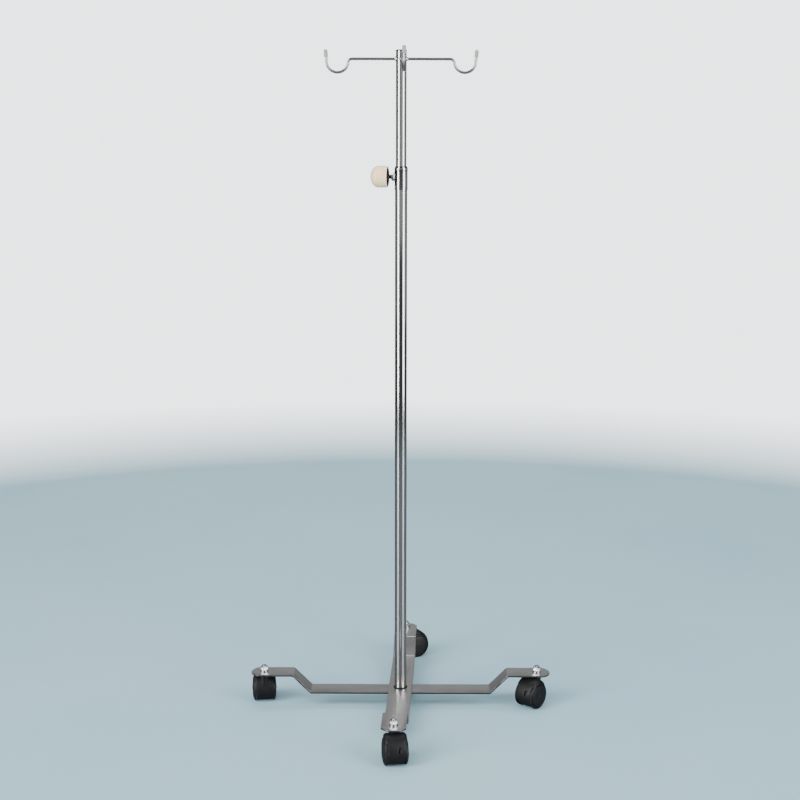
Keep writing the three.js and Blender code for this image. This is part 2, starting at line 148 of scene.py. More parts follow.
def eased(corners, steps=4):
    """A closed outline from (x, y, radius) corners, each turned into a small curve."""
    out = []
    count = len(corners)
    straight = math.radians(176)
    for i, (x, y, radius) in enumerate(corners):
        here = np.array([x, y], float)
        before = np.array(corners[i - 1][:2], float) - here
        after = np.array(corners[(i + 1) % count][:2], float) - here
        lb, la = np.linalg.norm(before), np.linalg.norm(after)
        if radius <= 0 or lb < 1e-6 or la < 1e-6:
            out.append(tuple(here))
            continue
        before, after = before / lb, after / la
        angle = math.acos(max(-1.0, min(1.0, float(before @ after))))
        if angle > straight:
            out.append(tuple(here))
            continue
        reach = min(radius / math.tan(angle / 2), 0.49 * lb, 0.49 * la)
        start, end = here + before * reach, here + after * reach
        for k in range(steps + 1):
            t = k / steps
            out.append(tuple((1 - t) ** 2 * start + 2 * t * (1 - t) * here + t * t * end))
    return out


def around(count):
    return np.linspace(0, 2 * math.pi, count, endpoint=False)


def ring(radius, height, angles):
    """A point at each angle; radius and height are one number each or one per angle."""
    radius = np.broadcast_to(radius, angles.shape)
    height = np.broadcast_to(height, angles.shape)
    return np.stack([radius * np.cos(angles), radius * np.sin(angles), height], 1)


def ring_faces(rings, count, looped=False):
    """Quads from each ring of count points to the next, then back to the first ring or over both ends."""
    faces = []
    for i in range(rings if looped else rings - 1):
        a, b = i * count, (i + 1) % rings * count
        for s in range(count):
            t = (s + 1) % count
            faces.append((a + s, a + t, b + t, b + s))
    if not looped:
        last = (rings - 1) * count
        faces += [tuple(range(count))[::-1], tuple(range(last, last + count))]
    return faces


def lathe(outline, segments=96, wave=None):
    """A closed (radius, height) outline turned about Z. wave(angle, height) may move the radius."""
    angles = around(segments)
    verts, faces = [], []
    for r, z in outline:
        verts.extend(ring(r if wave is None else r + wave(angles, z) * (r > 0), z, angles))
    count = len(outline)
    for i in range(count):
        j = (i + 1) % count
        if outline[i][0] <= 0 and outline[j][0] <= 0:
            continue
        for s in range(segments):
            t = (s + 1) % segments
            a, b = i * segments + s, i * segments + t
            c, d = j * segments + t, j * segments + s
            if outline[i][0] <= 0:
                faces.append((a, c, d))
            elif outline[j][0] <= 0:
                faces.append((a, b, d))
            else:
                faces.append((a, b, c, d))
    return np.array(verts), faces


def sweep(centres, normals, binormals, radii, segments=32):
    """A round section carried along centres and closed at both ends."""
    verts = []
    angles = around(segments)
    for c, n, b, r in zip(centres, normals, binormals, radii):
        verts.extend(c + r * (np.outer(np.cos(angles), n) + np.outer(np.sin(angles), b)))
    return np.array(verts), ring_faces(len(centres), segments)


def hex_nut(low, high, bore, facets=72):
    """A hexagon nut with a bored, chamfered hole and corners turned off at both ends."""
    angles = around(facets)
    sixth = math.pi / 3
    hexagon = NUT_FLATS / 2 / np.cos((angles % sixth) - sixth / 2)
    hexagon = np.minimum(hexagon, NUT_FLATS / 2 / math.cos(sixth / 2) * 0.992)
    face = NUT_FLATS / 2 * 0.95
    drop = (hexagon - face) * math.tan(math.radians(30))
    bevel = 0.5
    rings = [
        (bore, low + bevel), (bore + bevel, low), (face, low), (hexagon, low + drop),
        (hexagon, high - drop), (face, high), (bore + bevel, high), (bore, high - bevel),
    ]
    verts = []
    for r, z in rings:
        verts.extend(ring(r, z, angles))
    return np.array(verts), ring_faces(len(rings), facets, looped=True)


def threaded(low, high, plain_to=None, segments=36):
    """An M8 rod whose skin follows a screw thread above plain_to, with chamfered ends."""
    radius, pitch, depth = M8_R, 1.25, 0.62
    plain_to = low if plain_to is None else plain_to
    levels = [low] + ([plain_to] if plain_to > low else [])
    levels += list(np.arange(plain_to + 0.05, high, pitch / 6)) + [high]
    angles = around(segments)
    verts = []
    for z in levels:
        phase = (z / pitch - angles / (2 * math.pi)) % 1
        groove = depth * np.clip(1.15 * (1 - np.abs(2 * phase - 1)), 0, 1)
        r = radius - groove * (1.0 if z > plain_to else 0.0)
        end = min(z - low, high - z)
        r = np.minimum(r, radius - depth - 0.15 + max(end, 0.0) * 1.2)
        verts.extend(ring(r, z, angles))
    return np.array(verts), ring_faces(len(levels), segments)


def together(*parts):
    """Several (verts, faces) shapes as one."""
    verts, faces, shift = [], [], 0
    for v, f in parts:
        verts.append(np.asarray(v, float))
        faces.extend(tuple(i + shift for i in face) for face in f)
        shift += len(v)
    return np.concatenate(verts), faces


def prism(outline, low, high):
    """A flat (x, z) outline carried along Y from low to high."""
    count = len(outline)
    verts = [(x, low, z) for x, z in outline] + [(x, high, z) for x, z in outline]
    faces = [tuple(range(count)), tuple(range(2 * count - 1, count - 1, -1))]
    for i in range(count):
        j = (i + 1) % count
        faces.append((i, i + count, j + count, j))
    return np.array(verts), faces


def combined(name, base, tools, ease, sharp=32):
    """base with each (operation, verts, faces) tool applied, edges eased by ease millimetres."""
    def temporary(label, shape):
        return linked(label, smooth_mesh(label, *shape, sharp=sharp))

    target = temporary(name + "_solid", base)
    made = [target]
    for k, (operation, verts, faces) in enumerate(tools):
        tool = temporary(f"{name}_tool_{k}", (verts, faces))
        made.append(tool)
        modifier = target.modifiers.new(f"m{k}", "BOOLEAN")
        modifier.operation, modifier.object, modifier.solver = operation, tool, "EXACT"
    modifier = target.modifiers.new("ease", "BEVEL")
    modifier.width, modifier.segments = ease * MM, 2
    modifier.limit_method, modifier.angle_limit = "ANGLE", math.radians(38)
    graph = bpy.context.evaluated_depsgraph_get()
    mesh = bpy.data.meshes.new_from_object(target.evaluated_get(graph))
    for obj in made:
        bpy.data.objects.remove(obj)
    mesh.name = name
    mesh.shade_smooth()
    mesh.set_sharp_from_angle(angle=math.radians(sharp))
    return mesh


def eased_cad(node, name, ease, sharp=28):
    """A copy of a CAD node's mesh, cleaned, with its long edges eased by ease millimetres."""
    bm = bmesh.new()
    bm.from_mesh(nodes[node].data)
    bmesh.ops.remove_doubles(bm, verts=bm.verts, dist=2e-6)
    bmesh.ops.dissolve_limit(bm, angle_limit=math.radians(0.8), verts=bm.verts, edges=bm.edges)
    hard = [e for e in bm.edges if e.is_manifold and e.calc_face_angle(0) > math.radians(sharp)]
    bmesh.ops.bevel(bm, geom=hard, offset=ease * MM, segments=3, profile=0.5, affect="EDGES")
    bmesh.ops.triangulate(bm, faces=[f for f in bm.faces if len(f.verts) > 4])
    bmesh.ops.recalc_face_normals(bm, faces=bm.faces)
    mesh = bpy.data.meshes.new(name)
    bm.to_mesh(mesh)
    bm.free()
    mesh.shade_smooth()
    mesh.set_sharp_from_angle(angle=math.radians(24))
    return mesh


# ------------------------------------------------------------------ materials

class Finish:
    """One procedural material, from object coordinates in metres."""

    def __init__(self, name, **values):
        self.mat = bpy.data.materials.new(name)
        self.mat.use_nodes = True
        self.tree = self.mat.node_tree
        self.tree.nodes.clear()
        output = self.tree.nodes.new("ShaderNodeOutputMaterial")
        self.bsdf = self.tree.nodes.new("ShaderNodeBsdfPrincipled")
        self.tree.links.new(self.bsdf.outputs[0], output.inputs[0])
        self.coord = self.tree.nodes.new("ShaderNodeTexCoord")
        self.normal = None
        for key, value in values.items():
            self.bsdf.inputs[key.replace("_", " ")].default_value = value

    def node(self, kind, inputs=(), **settings):
        made = self.tree.nodes.new("ShaderNode" + kind)
        for key, value in settings.items():
            setattr(made, key, value)
        for key, value in dict(inputs).items():
            if isinstance(value, bpy.types.NodeSocket):
                self.tree.links.new(value, made.inputs[key])
            else:
                made.inputs[key].default_value = value
        return made

    def noise(self, scale, stretch=(1, 1, 1), detail=3.0, rough=0.55, warp=0.0):
        mapped = self.node("Mapping", {"Vector": self.coord.outputs["Object"], "Scale": stretch})
        made = self.node("TexNoise", {
            "Vector": mapped.outputs[0], "Scale": scale, "Detail": detail,
            "Roughness": rough, "Distortion": warp,
        })
        return made.outputs["Fac"]

    def remap(self, value, low, high, start=0.0, end=1.0):
        made = self.node("MapRange", {
            "Value": value, "From Min": low, "From Max": high, "To Min": start, "To Max": end,
        })
        return made.outputs["Result"]

    def mix(self, factor, first, second):
        made = self.node("Mix", data_type="RGBA")
        for index, value in ((0, factor), (6, first), (7, second)):
            if isinstance(value, bpy.types.NodeSocket):
                self.tree.links.new(value, made.inputs[index])
            else:
                made.inputs[index].default_value = value
        return made.outputs[2]

    def edges(self):
        """1 on convex edges, 0 on flat and hollow places."""
        return self.remap(self.node("NewGeometry").outputs["Pointiness"], 0.52, 0.62)

    def times(self, first, second):
        return self.node("Math", {0: first, 1: second}, operation="MULTIPLY").outputs[0]

    def plus(self, first, second):
        return self.node("Math", {0: first, 1: second}, operation="ADD").outputs[0]

    def colour(self, socket):
        self.tree.links.new(socket, self.bsdf.inputs["Base Color"])

    def roughness(self, socket):
        self.tree.links.new(socket, self.bsdf.inputs["Roughness"])

    def bump(self, height, strength, distance):
        inputs = {"Height": height, "Strength": strength, "Distance": distance}
        if self.normal is not None:
            inputs["Normal"] = self.normal
        self.normal = self.node("Bump", inputs).outputs[0]
        self.tree.links.new(self.normal, self.bsdf.inputs["Normal"])


def grey(value, warm=0.0):
    """A grey, a little redder and less blue by warm."""
    return (value * (1 + warm), value, value * (1 - warm), 1)


def polished_steel():
    f = Finish("polished_steel", Metallic=1.0)
    streaks = f.noise(420, stretch=(1, 1, 0.012), detail=3)
    cloud = f.noise(18, stretch=(1, 1, 0.3), detail=2)
    handled = f.remap(cloud, 0.35, 0.7)
    f.colour(f.mix(f.remap(streaks, 0.3, 0.7), grey(0.56, 0.004), grey(0.63, 0.008)))
    f.roughness(f.plus(f.remap(streaks, 0.3, 0.7, 0.08, 0.11), f.times(handled, 0.05)))
    f.bump(streaks, 0.03, 0.00003)
    return f.mat


def bright_rod():
    f = Finish("bright_rod", Metallic=1.0)
    drawn = f.noise(900, detail=3)
    cloud = f.noise(45, detail=2)
    f.colour(f.mix(f.remap(cloud, 0.3, 0.7), grey(0.50), grey(0.57, 0.006)))
    f.roughness(f.plus(f.remap(drawn, 0.3, 0.75, 0.25, 0.3), f.times(f.remap(cloud, 0.4, 0.7), 0.04)))
    f.bump(drawn, 0.05, 0.00003)
    return f.mat


def satin_steel():
    """Brushed bar stock: bright faces, and cut edges darkened wherever the surface stands upright, partly
    their dark oxide and partly painted shade.
    """
    f = Finish("satin_steel", Metallic=1.0)
    grain = f.noise(2600, detail=2, rough=0.6)
    roll = f.noise(420, stretch=(0.16, 1, 1), detail=4, rough=0.6)
    blotch = f.noise(28, detail=3, warp=0.4)
    scratch = f.noise(300, stretch=(0.05, 1.6, 1), detail=6, rough=0.7)
    body = f.mix(f.remap(blotch, 0.3, 0.72), grey(0.50, 0.004), grey(0.57, 0.012))
    speck = f.remap(grain, 0.56, 0.78)
    face = f.mix(f.times(speck, 0.5), body, grey(0.68, 0.01))
    # painted shade: faces that stand upright, the bars' cut edges, are coloured darker by how they face,
    # with some dark oxide of the cut edges in it
    facing = f.node("SeparateXYZ", {0: f.node("NewGeometry").outputs["Normal"]})
    upward = f.node("Math", {0: facing.outputs[2]}, operation="ABSOLUTE")
    upright_shade = f.remap(upward.outputs[0], 0.12, 0.5, 1.0, 0.0)
    f.colour(f.mix(upright_shade, face, f.mix(speck, grey(0.13), grey(0.2))))
    worn = f.remap(scratch, 0.62, 0.75, 0.0, -0.07)
    base = f.plus(f.remap(roll, 0.3, 0.7, 0.29, 0.38), worn)
    f.roughness(f.plus(base, f.remap(blotch, 0.3, 0.7, -0.02, 0.05)))
    f.bump(grain, 0.22, 0.00005)
    f.bump(roll, 0.12, 0.00006)
    return f.mat


def plated(name, dark, light, rough):
    f = Finish(name, Metallic=1.0)
    fine = f.noise(1900, detail=3)
    cloud = f.noise(160, detail=3, warp=0.5)
    f.colour(f.mix(f.remap(cloud, 0.3, 0.7), dark, light))
    wear = f.times(f.edges(), 0.1)
    fine_rough = f.remap(fine, 0.3, 0.7, rough, rough + 0.08)
    f.roughness(f.plus(f.plus(fine_rough, f.remap(cloud, 0.35, 0.7, 0.0, 0.06)), wear))
    f.bump(fine, 0.2, 0.00004)
    return f.mat


def moulded(name, dark, light, rough, grain_height):
    """Black moulded plastic with a fine grain, dust, and edges rubbed grey."""
    f = Finish(name, Specular_IOR_Level=0.34)
    grain = f.noise(2400, detail=2, rough=0.6)
    flow = f.noise(45, detail=3, warp=0.6)
    dust = f.noise(520, detail=5, rough=0.7)
    body = f.mix(f.remap(flow, 0.3, 0.72), dark, light)
    dusty = f.times(f.remap(dust, 0.52, 0.78), 0.16)
    body = f.mix(dusty, body, (0.045, 0.045, 0.047, 1))
    scuffed = f.times(f.edges(), f.remap(dust, 0.35, 0.6, 0.1, 0.42))
    f.colour(f.mix(scuffed, body, (0.042, 0.043, 0.046, 1)))
    f.roughness(f.plus(f.remap(grain, 0.3, 0.7, rough - 0.05, rough + 0.06), f.times(dusty, 0.8)))
    f.bump(grain, 0.35, grain_height)
    f.bump(flow, 0.12, 0.0003)
    return f.mat


def rubber():
    f = Finish("black_rubber", Specular_IOR_Level=0.35)
    fine = f.noise(1300, detail=4, rough=0.65)
    bloom = f.noise(90, detail=3)
    f.colour(f.mix(f.remap(bloom, 0.35, 0.75), (0.006, 0.006, 0.007, 1), (0.014, 0.014, 0.015, 1)))
    f.roughness(f.remap(fine, 0.3, 0.7, 0.66, 0.84))
    f.bump(fine, 0.4, 0.00012)
    return f.mat


def cream():
    f = Finish("cream_plastic", Specular_IOR_Level=0.5, Coat_Weight=0.2, Coat_Roughness=0.12)
    cloud = f.noise(38, detail=3, warp=0.5)
    fine = f.noise(1500, detail=3)
    grime = f.noise(240, detail=5, rough=0.7)
    body = f.mix(f.remap(cloud, 0.3, 0.7), (0.97, 0.67, 0.41, 1), (0.98, 0.74, 0.49, 1))
    f.colour(f.mix(f.times(f.remap(grime, 0.6, 0.85), 0.15), body, (0.66, 0.52, 0.40, 1)))
    f.roughness(f.plus(f.remap(fine, 0.3, 0.7, 0.24, 0.29), f.times(f.remap(grime, 0.5, 0.8), 0.1)))
    f.bump(cloud, 0.1, 0.0004)
    return f.mat


def brass():
    f = Finish("brass", Metallic=1.0)
    turned_lines = f.noise(1400, stretch=(1, 0.2, 0.2), detail=3)
    cloud = f.noise(90, detail=3)
    f.colour(f.mix(f.remap(cloud, 0.3, 0.7), (0.40, 0.24, 0.07, 1), (0.55, 0.36, 0.12, 1)))
    f.roughness(f.remap(turned_lines, 0.3, 0.7, 0.24, 0.4))
    f.bump(turned_lines, 0.2, 0.00005)
    return f.mat


def nylon():
    f = Finish("white_nylon", Subsurface_Weight=0.15, Subsurface_Scale=0.002)
    cloud = f.noise(60, detail=3)
    fine = f.noise(1200, detail=3)
    f.colour(f.mix(f.remap(cloud, 0.3, 0.7), (0.74, 0.72, 0.65, 1), (0.82, 0.80, 0.74, 1)))
    f.roughness(f.remap(fine, 0.3, 0.7, 0.42, 0.55))
    f.bump(fine, 0.2, 0.00006)
    return f.mat


def vinyl():
    f = Finish("clear_vinyl", Transmission_Weight=0.45, IOR=1.5, Subsurface_Weight=0.1,
               Subsurface_Scale=0.001)
    cloud = f.noise(180, detail=3, warp=0.4)
    fine = f.noise(900, detail=3)
    f.colour(f.mix(f.remap(cloud, 0.3, 0.7), (0.40, 0.42, 0.43, 1), (0.56, 0.57, 0.56, 1)))
    f.roughness(f.remap(fine, 0.3, 0.7, 0.2, 0.34))
    f.bump(fine, 0.2, 0.00008)
    return f.mat


def floor_finish():
    """A pale painted floor, dimmer where metal mirrors it, that fades out before 3.2 m from the pole."""
    f = Finish("floor", Specular_IOR_Level=0.2)
    cloud = f.noise(1.4, detail=3, warp=0.3)
    fine = f.noise(260, detail=3)
    f.colour(f.mix(f.remap(cloud, 0.3, 0.7), (0.33, 0.54, 0.64, 1), (0.37, 0.58, 0.67, 1)))
    f.roughness(f.remap(fine, 0.3, 0.7, 0.62, 0.72))
    f.bump(fine, 0.08, 0.0002)
    far = f.node("VectorMath", {0: f.coord.outputs["Object"]}, operation="LENGTH")
    fade = f.remap(far.outputs["Value"], 2.1, 3.2)
    clear = f.node("BsdfTransparent")
    dim = f.node("BsdfPrincipled", {
        "Base Color": (0.10, 0.13, 0.145, 1), "Roughness": 0.27, "Specular IOR Level": 0.9,
    })
    path = f.node("LightPath")
    lit = f.node("MixShader", {
        0: path.outputs["Is Glossy Ray"], 1: f.bsdf.outputs[0], 2: dim.outputs[0],
    })
    shown = f.node("MixShader", {0: fade, 1: lit.outputs[0], 2: clear.outputs[0]})
    output = next(n for n in f.tree.nodes if n.type == "OUTPUT_MATERIAL")
    f.tree.links.new(shown.outputs[0], output.inputs[0])
    return f.mat


STEEL = polished_steel()
ROD = bright_rod()
SATIN = satin_steel()
ZINC = plated("zinc_plate", (0.66, 0.67, 0.69, 1), (0.82, 0.82, 0.81, 1), 0.1)
SCREW = plated("oiled_steel", grey(0.14), grey(0.24, 0.02), 0.24)
HOOD = moulded("black_plastic", (0.0048, 0.0048, 0.0054, 1), (0.0082, 0.0082, 0.0088, 1),
               0.46, 0.00009)
WHEEL = moulded("wheel_plastic", (0.0065, 0.0065, 0.007, 1), (0.0095, 0.0095, 0.010, 1),
                0.42, 0.00005)
RUBBER = rubber()
CREAM = cream()
BRASS = brass()
NYLON = nylon()
VINYL = vinyl()


# ------------------------------------------------------------------ cross base

EDGE_EASE = 0.45
for bar in ("side", "front"):
    bar_mesh = eased_cad(f"{bar}_cross_bar", f"{bar}_bar", EDGE_EASE)
    piece(f"{bar}_bar", bar_mesh, "base", SATIN, [f"{bar}_cross_bar"])

# A black rubber ring under the pole's foot; its black is partly painted shade, darkening the foot where
# the tube meets the base.
GASKET_R = 13
gasket_low, gasket_high = heights("pole_foot_gasket")
gasket = lathe(eased([
    (HOLE_R, gasket_low, 0), (GASKET_R, gasket_low, 0.3), (GASKET_R, gasket_high, 0.4),
    (HOLE_R, gasket_high, 0),
]))
shaped("foot_gasket", gasket, "base", RUBBER, ["pole_foot_gasket"])

HEAD_H, PLAIN_SHANK = 5.3, 6
bolt_low, bolt_high = heights("base_bolt")
head_top = bolt_low + HEAD_H
head = hex_nut(bolt_low, head_top, 0.6)
shank = threaded(head_top - 1, bolt_high, plain_to=head_top + PLAIN_SHANK)
shaped("base_bolt_body", together(head, shank), "base", ZINC, ["base_bolt"])


def washer(low):
    high = low + WASHER_H
    corners = [(HOLE_R, low, 0.15), (WASHER_R, low, 0.3), (WASHER_R, high, 0.3), (HOLE_R, high, 0.15)]
    return lathe(eased(corners), 64)


shaped("base_washer", washer(head_top), "base", ZINC, ["base_bolt_washer"])


# ------------------------------------------------------------------ pole and clamp

def tube(bore, outer, low, high):
    corners = [(bore, low, 0.15), (outer, low, 0.35), (outer, high, 0.35), (bore, high, 0.15)]
    return lathe(eased(corners), 128)


shaped("lower_pole", tube(LOWER_BORE, LOWER_R, foot_z, lower_top), "base", STEEL,
       ["lower_tube"])
shaped("upper_pole", tube(UPPER_BORE, UPPER_R, upper_base, upper_top), "mast", STEEL,
       ["upper_tube"])

COLLAR_R, COLLAR_FIT = 12.0, LOWER_R + 0.15
collar_outline = eased([
    (COLLAR_FIT, collar_base, 0.1),
    (COLLAR_R + 0.1, collar_base, 0.35),
    (COLLAR_R + 0.1, collar_base + 1.6, 0.5),
    (COLLAR_R - 0.25, collar_base + 2.6, 0.8),
    (COLLAR_R - 0.25, collar_top - 9, 1.5),
    (COLLAR_R, collar_top - 7.5, 1.0),
    (COLLAR_R, collar_top - 3.6, 3.2),
    (COLLAR_R - 1.6, collar_top, 0.9),
    (LOWER_BORE, collar_top, 0.35),
    (LOWER_BORE, lower_top + 0.3, 0),
    (COLLAR_FIT, lower_top + 0.3, 0),
], 6)
shaped("collar", lathe(collar_outline, 128), "base", STEEL, ["clamp_collar"])

# along_clamp takes the Z axis out along the clamp screw, from the pole's middle
along_clamp = move(0, 0, clamp_z) @ turn(clamp_turn) @ turn(math.pi / 2, "Y")
boss = hex_nut(COLLAR_R - 0.9, COLLAR_R + 5.3, M8_BORE)
weld_bead = lathe(eased([(6.0, 11.0, 0.2), (7.6, 10.4, 0.3), (7.1, 12.3, 0.5), (6.0, 12.9, 0.3)]), 72,
                  wave=lambda a, z: 0.16 * np.sin(9 * a + z) + 0.1 * np.sin(17 * a))
shaped("boss_nut", together(boss, weld_bead), "base", ZINC, ["clamp_nut"],
       along_clamp, sharp=26)

KNOB_BACK, KNOB_LENGTH, KNOB_R, KNOB_DOME, KNOB_WALL = 23.9, 31.2, 19.2, 14.5, 2.4
SCREW_START, SCREW_END = UPPER_R + 2.4, KNOB_BACK + 15
shaped("screw", threaded(SCREW_START, SCREW_END), "knob", SCREW, ["clamp_screw"],
       along_clamp, sharp=40)


def knob_skin(inset, back, steps=18):
    """Corners from the knob's open back to the middle of its dome, inset from the outer skin."""
    radius = KNOB_R - inset
    dome = KNOB_BACK + KNOB_LENGTH - KNOB_DOME
    skin = [(radius - 1.0, back, 0.5), (radius - 0.75, back + 1.6, 0.5), (radius - 0.25, back + 5, 2),
            (radius, back + 10, 2)]
    for i in range(steps + 1):
        a = i * math.pi / 2 / steps
        skin.append((max(radius * math.cos(a), 0.0) if i < steps else 0.0,
                     dome + (KNOB_DOME - inset) * math.sin(a), 0))
    return skin


mouth = (KNOB_R - 2.0, KNOB_BACK, 0.3)
knob_outline = eased(knob_skin(0, KNOB_BACK) + knob_skin(KNOB_WALL, KNOB_BACK)[:2:-1] + [mouth])
shaped("knob_shell", lathe(knob_outline, 128), "knob", CREAM, ["knob_cap"], along_clamp)

# The hub's black plastic sits almost flush with the knob's open back, so the hollow shows black: partly
# the core's own colour, partly painted shade inside the knob.
core_r, core_back, core_front = KNOB_R - KNOB_WALL - 0.3, KNOB_BACK + 0.4, KNOB_BACK + 17
core_parts = [lathe(eased([
    (M8_BORE, core_back, 0.2), (7.2, core_back, 0.4), (7.4, core_back + 5, 0.4),
    (core_r - 2, core_back + 5, 0.4), (core_r - 1.8, core_back, 0.3), (core_r, core_back, 0.3),
    (core_r, core_front, 0.5), (0, core_front, 0), (0, core_front - 1.5, 0),
    (M8_BORE, core_front - 1.5, 0.2),
]), 96)]
RIBS, RIB_HALF = 6, 0.6
for k in range(RIBS):
    rib = eased([(7.0, core_back + 0.8, 0.2), (core_r - 1.9, core_back + 0.8, 0.2),
                 (core_r - 1.9, core_back + 5.3, 0), (7.0, core_back + 5.3, 0)])
    rib_verts, rib_faces = prism(rib, -RIB_HALF, RIB_HALF)
    core_parts.append((placed(rib_verts, turn(k * math.pi / 3)), rib_faces))
shaped("knob_hub", together(*core_parts), "knob", HOOD, ["knob_core"], along_clamp)

plug_r, rim_r = UPPER_BORE - 0.25, UPPER_R + 0.5
plug_outline = eased([
    (0, upper_top - 12, 0), (plug_r, upper_top - 12, 0.5), (plug_r, upper_top, 0),
    (rim_r, upper_top, 0.15), (rim_r, upper_top + 1.0, 0.5), (UPPER_R - 1.2, upper_top + 1.85, 1.5),
    (0, upper_top + 2.0, 0),
])
shaped("pole_cap", lathe(plug_outline, 96), "mast", HOOD, ["top_plug"])


# ------------------------------------------------------------------ hooks

ROD_R, ROD_Z = 2.5, 1195.5
U_R, U_REACH, U_DROP = 19.0, 112.4, 4.4
BEND_R, TIP_LEAN, TIP_Z = 7.0, math.radians(5), 1211.8
CAP_R, CAP_LENGTH, CAP_END = 3.5, 13.0, 1.2
bottom_z, bend_z = ROD_Z - U_DROP, ROD_Z - BEND_R
bend_x = U_REACH - math.sqrt((BEND_R + U_R) ** 2 - (bottom_z - bend_z) ** 2)
meet = math.atan2(bottom_z - bend_z, U_REACH - bend_x)
rise = np.array([U_REACH + U_R * math.cos(TIP_LEAN), bottom_z - U_R * math.sin(TIP_LEAN)])
tip_length = (TIP_Z - rise[1]) / math.cos(TIP_LEAN)
tip = np.array([rise[0] + tip_length * math.sin(TIP_LEAN), TIP_Z])


def arc(cx, cz, radius, start, end, steps):
    angles = np.linspace(start, end, steps + 1)
    return [(cx + radius * math.cos(a), cz + radius * math.sin(a)) for a in angles]


def hook_path():
    """Points in X and Z down the rod's middle, with the radius at each: the weld flares at the tube."""
    flare = [(8.3, 4.4), (8.9, 4.3), (9.7, 3.9), (10.4, 3.3), (11.2, 2.85), (12.4, 2.6), (14.0, 2.5)]
    path = [((x, ROD_Z), r) for x, r in flare]
    path += [((x, ROD_Z), ROD_R) for x in np.linspace(20, bend_x - 2, 8)]
    path += [(p, ROD_R) for p in arc(bend_x, bend_z, BEND_R, math.pi / 2, meet, 10)]
    bowl = arc(U_REACH, bottom_z, U_R, math.pi + meet, 2 * math.pi - TIP_LEAN, 40)
    path += [(p, ROD_R) for p in bowl[1:]]
    end = tip + (rise - tip) * CAP_END / tip_length
    path += [(tuple(rise + (end - rise) * t), ROD_R) for t in (0.3, 0.6, 0.93)]
    path += [(tuple(end), ROD_R - 0.5)]
    return path


def hook_rod():
    path = hook_path()
    points = np.array([p for p, _ in path])
    radii = np.array([r for _, r in path])
    ahead = np.gradient(points, axis=0)
    ahead /= np.linalg.norm(ahead, axis=1)[:, None]
    zero = np.zeros(len(points))
    centres = np.stack([points[:, 0], zero, points[:, 1]], 1)
    normals = np.stack([-ahead[:, 1], zero, ahead[:, 0]], 1)
    across = np.tile([0.0, 1.0, 0.0], (len(points), 1))
    return sweep(centres, normals, across, radii)


sleeve_r, lip_r, skin_r = ROD_R + 0.1, CAP_R + 0.12, CAP_R - 0.1
tip_cap = lathe(eased([
    (sleeve_r, -CAP_LENGTH, 0.1), (lip_r, -CAP_LENGTH, 0.3), (lip_r, -CAP_LENGTH + 1.0, 0.4),
    (skin_r, -CAP_LENGTH + 1.6, 0.5), (skin_r, -0.9, 1.6), (0, 0, 0), (0, -CAP_END + 0.2, 0),
    (sleeve_r, -CAP_END + 0.2, 0.3),
], 6), 48)
for side, degrees in HOOKS.items():
    swing = turn(hook_turn + math.radians(degrees))
    shaped(f"{side}_hook_rod", hook_rod(), "mast", ROD, [f"{side}_hook"], swing)
    on_tip = swing @ move(tip[0], 0, tip[1]) @ turn(TIP_LEAN, "Y")
    shaped(f"{side}_tip_cap", tip_cap, "mast", VINYL, [f"{side}_hook_tip"], on_tip)


# ------------------------------------------------------------------ casters

WHEEL_R, TRAIL = 25.0, 18.0
HOOD_HALF, FENDER_HALF, FENDER_LOW = 15.5, 20.2, 45.5
HOOD_TOP, ARCH_Z, BACK_X, FRONT_X = 56.5, 27.0, 3.5, -2.5
BOSS_R, BOSS_LOW = 8.2, 33
TYRE_CLEARANCE = 0.9
BEYOND = 40  # past the hood on every side


def hood_outline(inset, steps=22):
    """The hood's side outline: crown to back, under the foot round the wheel, and up to the crown."""
    radius = HOOD_TOP - ARCH_Z - inset
    crown = math.acos((BACK_X - FRONT_X) / 2 / radius)
    back = arc(BACK_X, ARCH_Z, radius, math.pi - crown, math.radians(190), steps)
    foot = arc(0, WHEEL_R, WHEEL_R - 1.5 - inset, math.radians(212), math.radians(332), steps)
    front = arc(FRONT_X, ARCH_Z, radius, math.radians(-10), crown, steps)
    lowest = 3.5 + inset * 0.5
    return back + [(x, max(z, lowest)) for x, z in foot] + front[:-1]


def hood_mesh():
    """One hood about its axle, with the wheels' room, the stem boss and the back slot cut or joined."""
    stations = [(0, 0.0), (6, 0.05), (11, 0.2), (14, 0.45), (16, 0.8), (17.3, 1.35), (18.3, 2.1),
                (19.1, 3.0), (19.7, 4.0), (FENDER_HALF, 5.0)]
    stations = [(-y, inset) for y, inset in stations[:0:-1]] + stations
    verts = [(x, y, z) for y, inset in stations for x, z in hood_outline(inset)]
    faces = ring_faces(len(stations), len(hood_outline(0)))
    clearance = arc(0, WHEEL_R, WHEEL_R + TYRE_CLEARANCE, 0, math.pi, 72)
    over_wheel = [(x, z) for x, z in clearance if z > FENDER_LOW]
    wheel_room = [(BEYOND, -10), (BEYOND, FENDER_LOW), *over_wheel, (-BEYOND, FENDER_LOW), (-BEYOND, -10)]
    boss = lathe(eased([(0, BOSS_LOW, 0), (BOSS_R, BOSS_LOW, 0), (BOSS_R, HOOD_TOP, 0.8),
                        (0, HOOD_TOP, 0)]), 64)
    slot = eased([(-30, 29, 0), (-21, 29, 0.6), (-21, 39, 0.6), (-30, 39, 0)])
    notch = eased([(-30, 36, 0), (-22, 36, 0.6), (-22, 39, 0.6), (-30, 39, 0)])
    tools = [
        ("DIFFERENCE", *prism(wheel_room, HOOD_HALF, BEYOND)),
        ("DIFFERENCE", *prism(wheel_room, -BEYOND, -HOOD_HALF)),
        ("UNION", placed(boss[0], move(TRAIL)), boss[1]),
        ("DIFFERENCE", *prism(slot, -6.4, -3.4)),
        ("DIFFERENCE", *prism(notch, -8.6, -6.0)),
    ]
    return combined("hood", (verts, faces), tools, EDGE_EASE)


